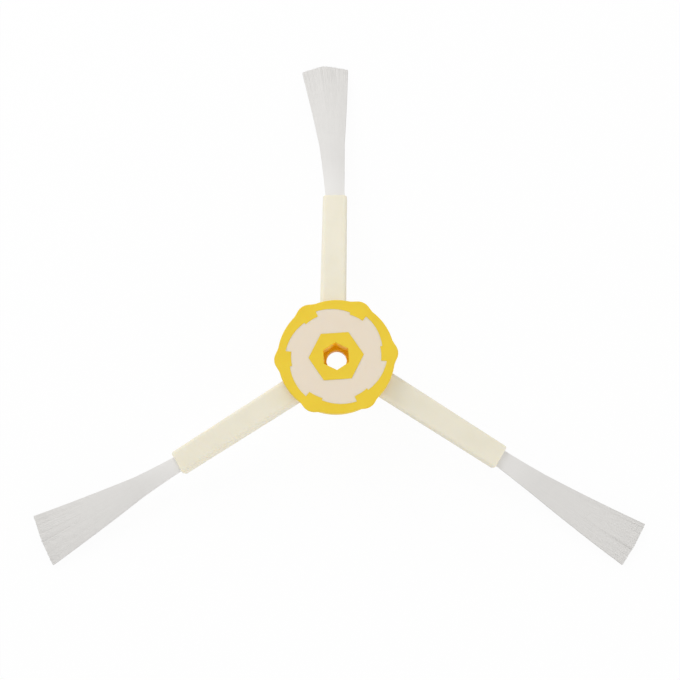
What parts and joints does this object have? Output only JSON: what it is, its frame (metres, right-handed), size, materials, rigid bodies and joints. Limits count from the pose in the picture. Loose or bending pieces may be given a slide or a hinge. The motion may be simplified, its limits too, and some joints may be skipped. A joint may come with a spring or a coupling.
{
  "type": "robot vacuum side brush",
  "caption": "Sweeping brush for a robot vacuum: lobed yellow hub with a hexagonal drive socket, drooping cream elastomer arms and flat fans of white nylon filament.",
  "frame": {"origin": "centre of the screw hole, on the face that the screw head bears on", "axes": "+Z along the axis of rotation towards the robot; +Y towards the first arm; the tuft tips are lowest"},
  "size_m": [0.159, 0.1441, 0.022],
  "materials": {
    "yellow_plastic": "satin moulded plastic",
    "cream_elastomer": "matte moulded elastomer",
    "nylon_filament": "fine drawn filament, cut ends"
  },
  "bodies": {
    "root": {"hub": "yellow_plastic", "arm_spider": "cream_elastomer", "tuft_1": "nylon_filament", "tuft_2": "nylon_filament", "tuft_3": "nylon_filament"}
  },
  "joints": []
}
